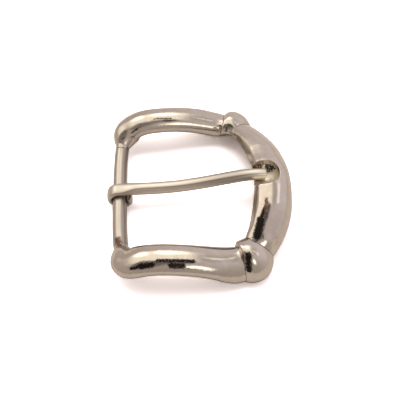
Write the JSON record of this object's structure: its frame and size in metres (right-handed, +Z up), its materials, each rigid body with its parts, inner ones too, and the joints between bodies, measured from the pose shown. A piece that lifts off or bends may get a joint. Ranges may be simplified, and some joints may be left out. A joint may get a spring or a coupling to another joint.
{
  "type": "belt buckle",
  "caption": "Cast heel-bar belt buckle: arched side limbs, knuckle beads, a broad crescent front with a scooped prong seat, and a curved wire prong that turns on the round bar.",
  "frame": {"origin": "bottom centre of the bounding box, on the surface that the buckle lies on", "axes": "+X from the heel bar to the crescent front, +Y along the heel bar, +Z up out of the buckle's face"},
  "size_m": [0.0638, 0.0696, 0.0152],
  "materials": {
    "plated_casting": "bright nickel plate, worn, with a fine orange-peel grain and dark tarnish specks",
    "plated_wire": "bright nickel plate on drawn steel wire, lightly worn"
  },
  "bodies": {
    "frame": {"frame": "plated_casting"},
    "prong": {"prong": "plated_wire"}
  },
  "joints": [
    {"name": "prong_turn", "type": "hinge", "parent": "frame", "child": "prong", "pos_m": [-0.02741, 0.0004, 0.00445], "axis": [0, -1, 0], "range_deg": [0, 350]}
  ]
}
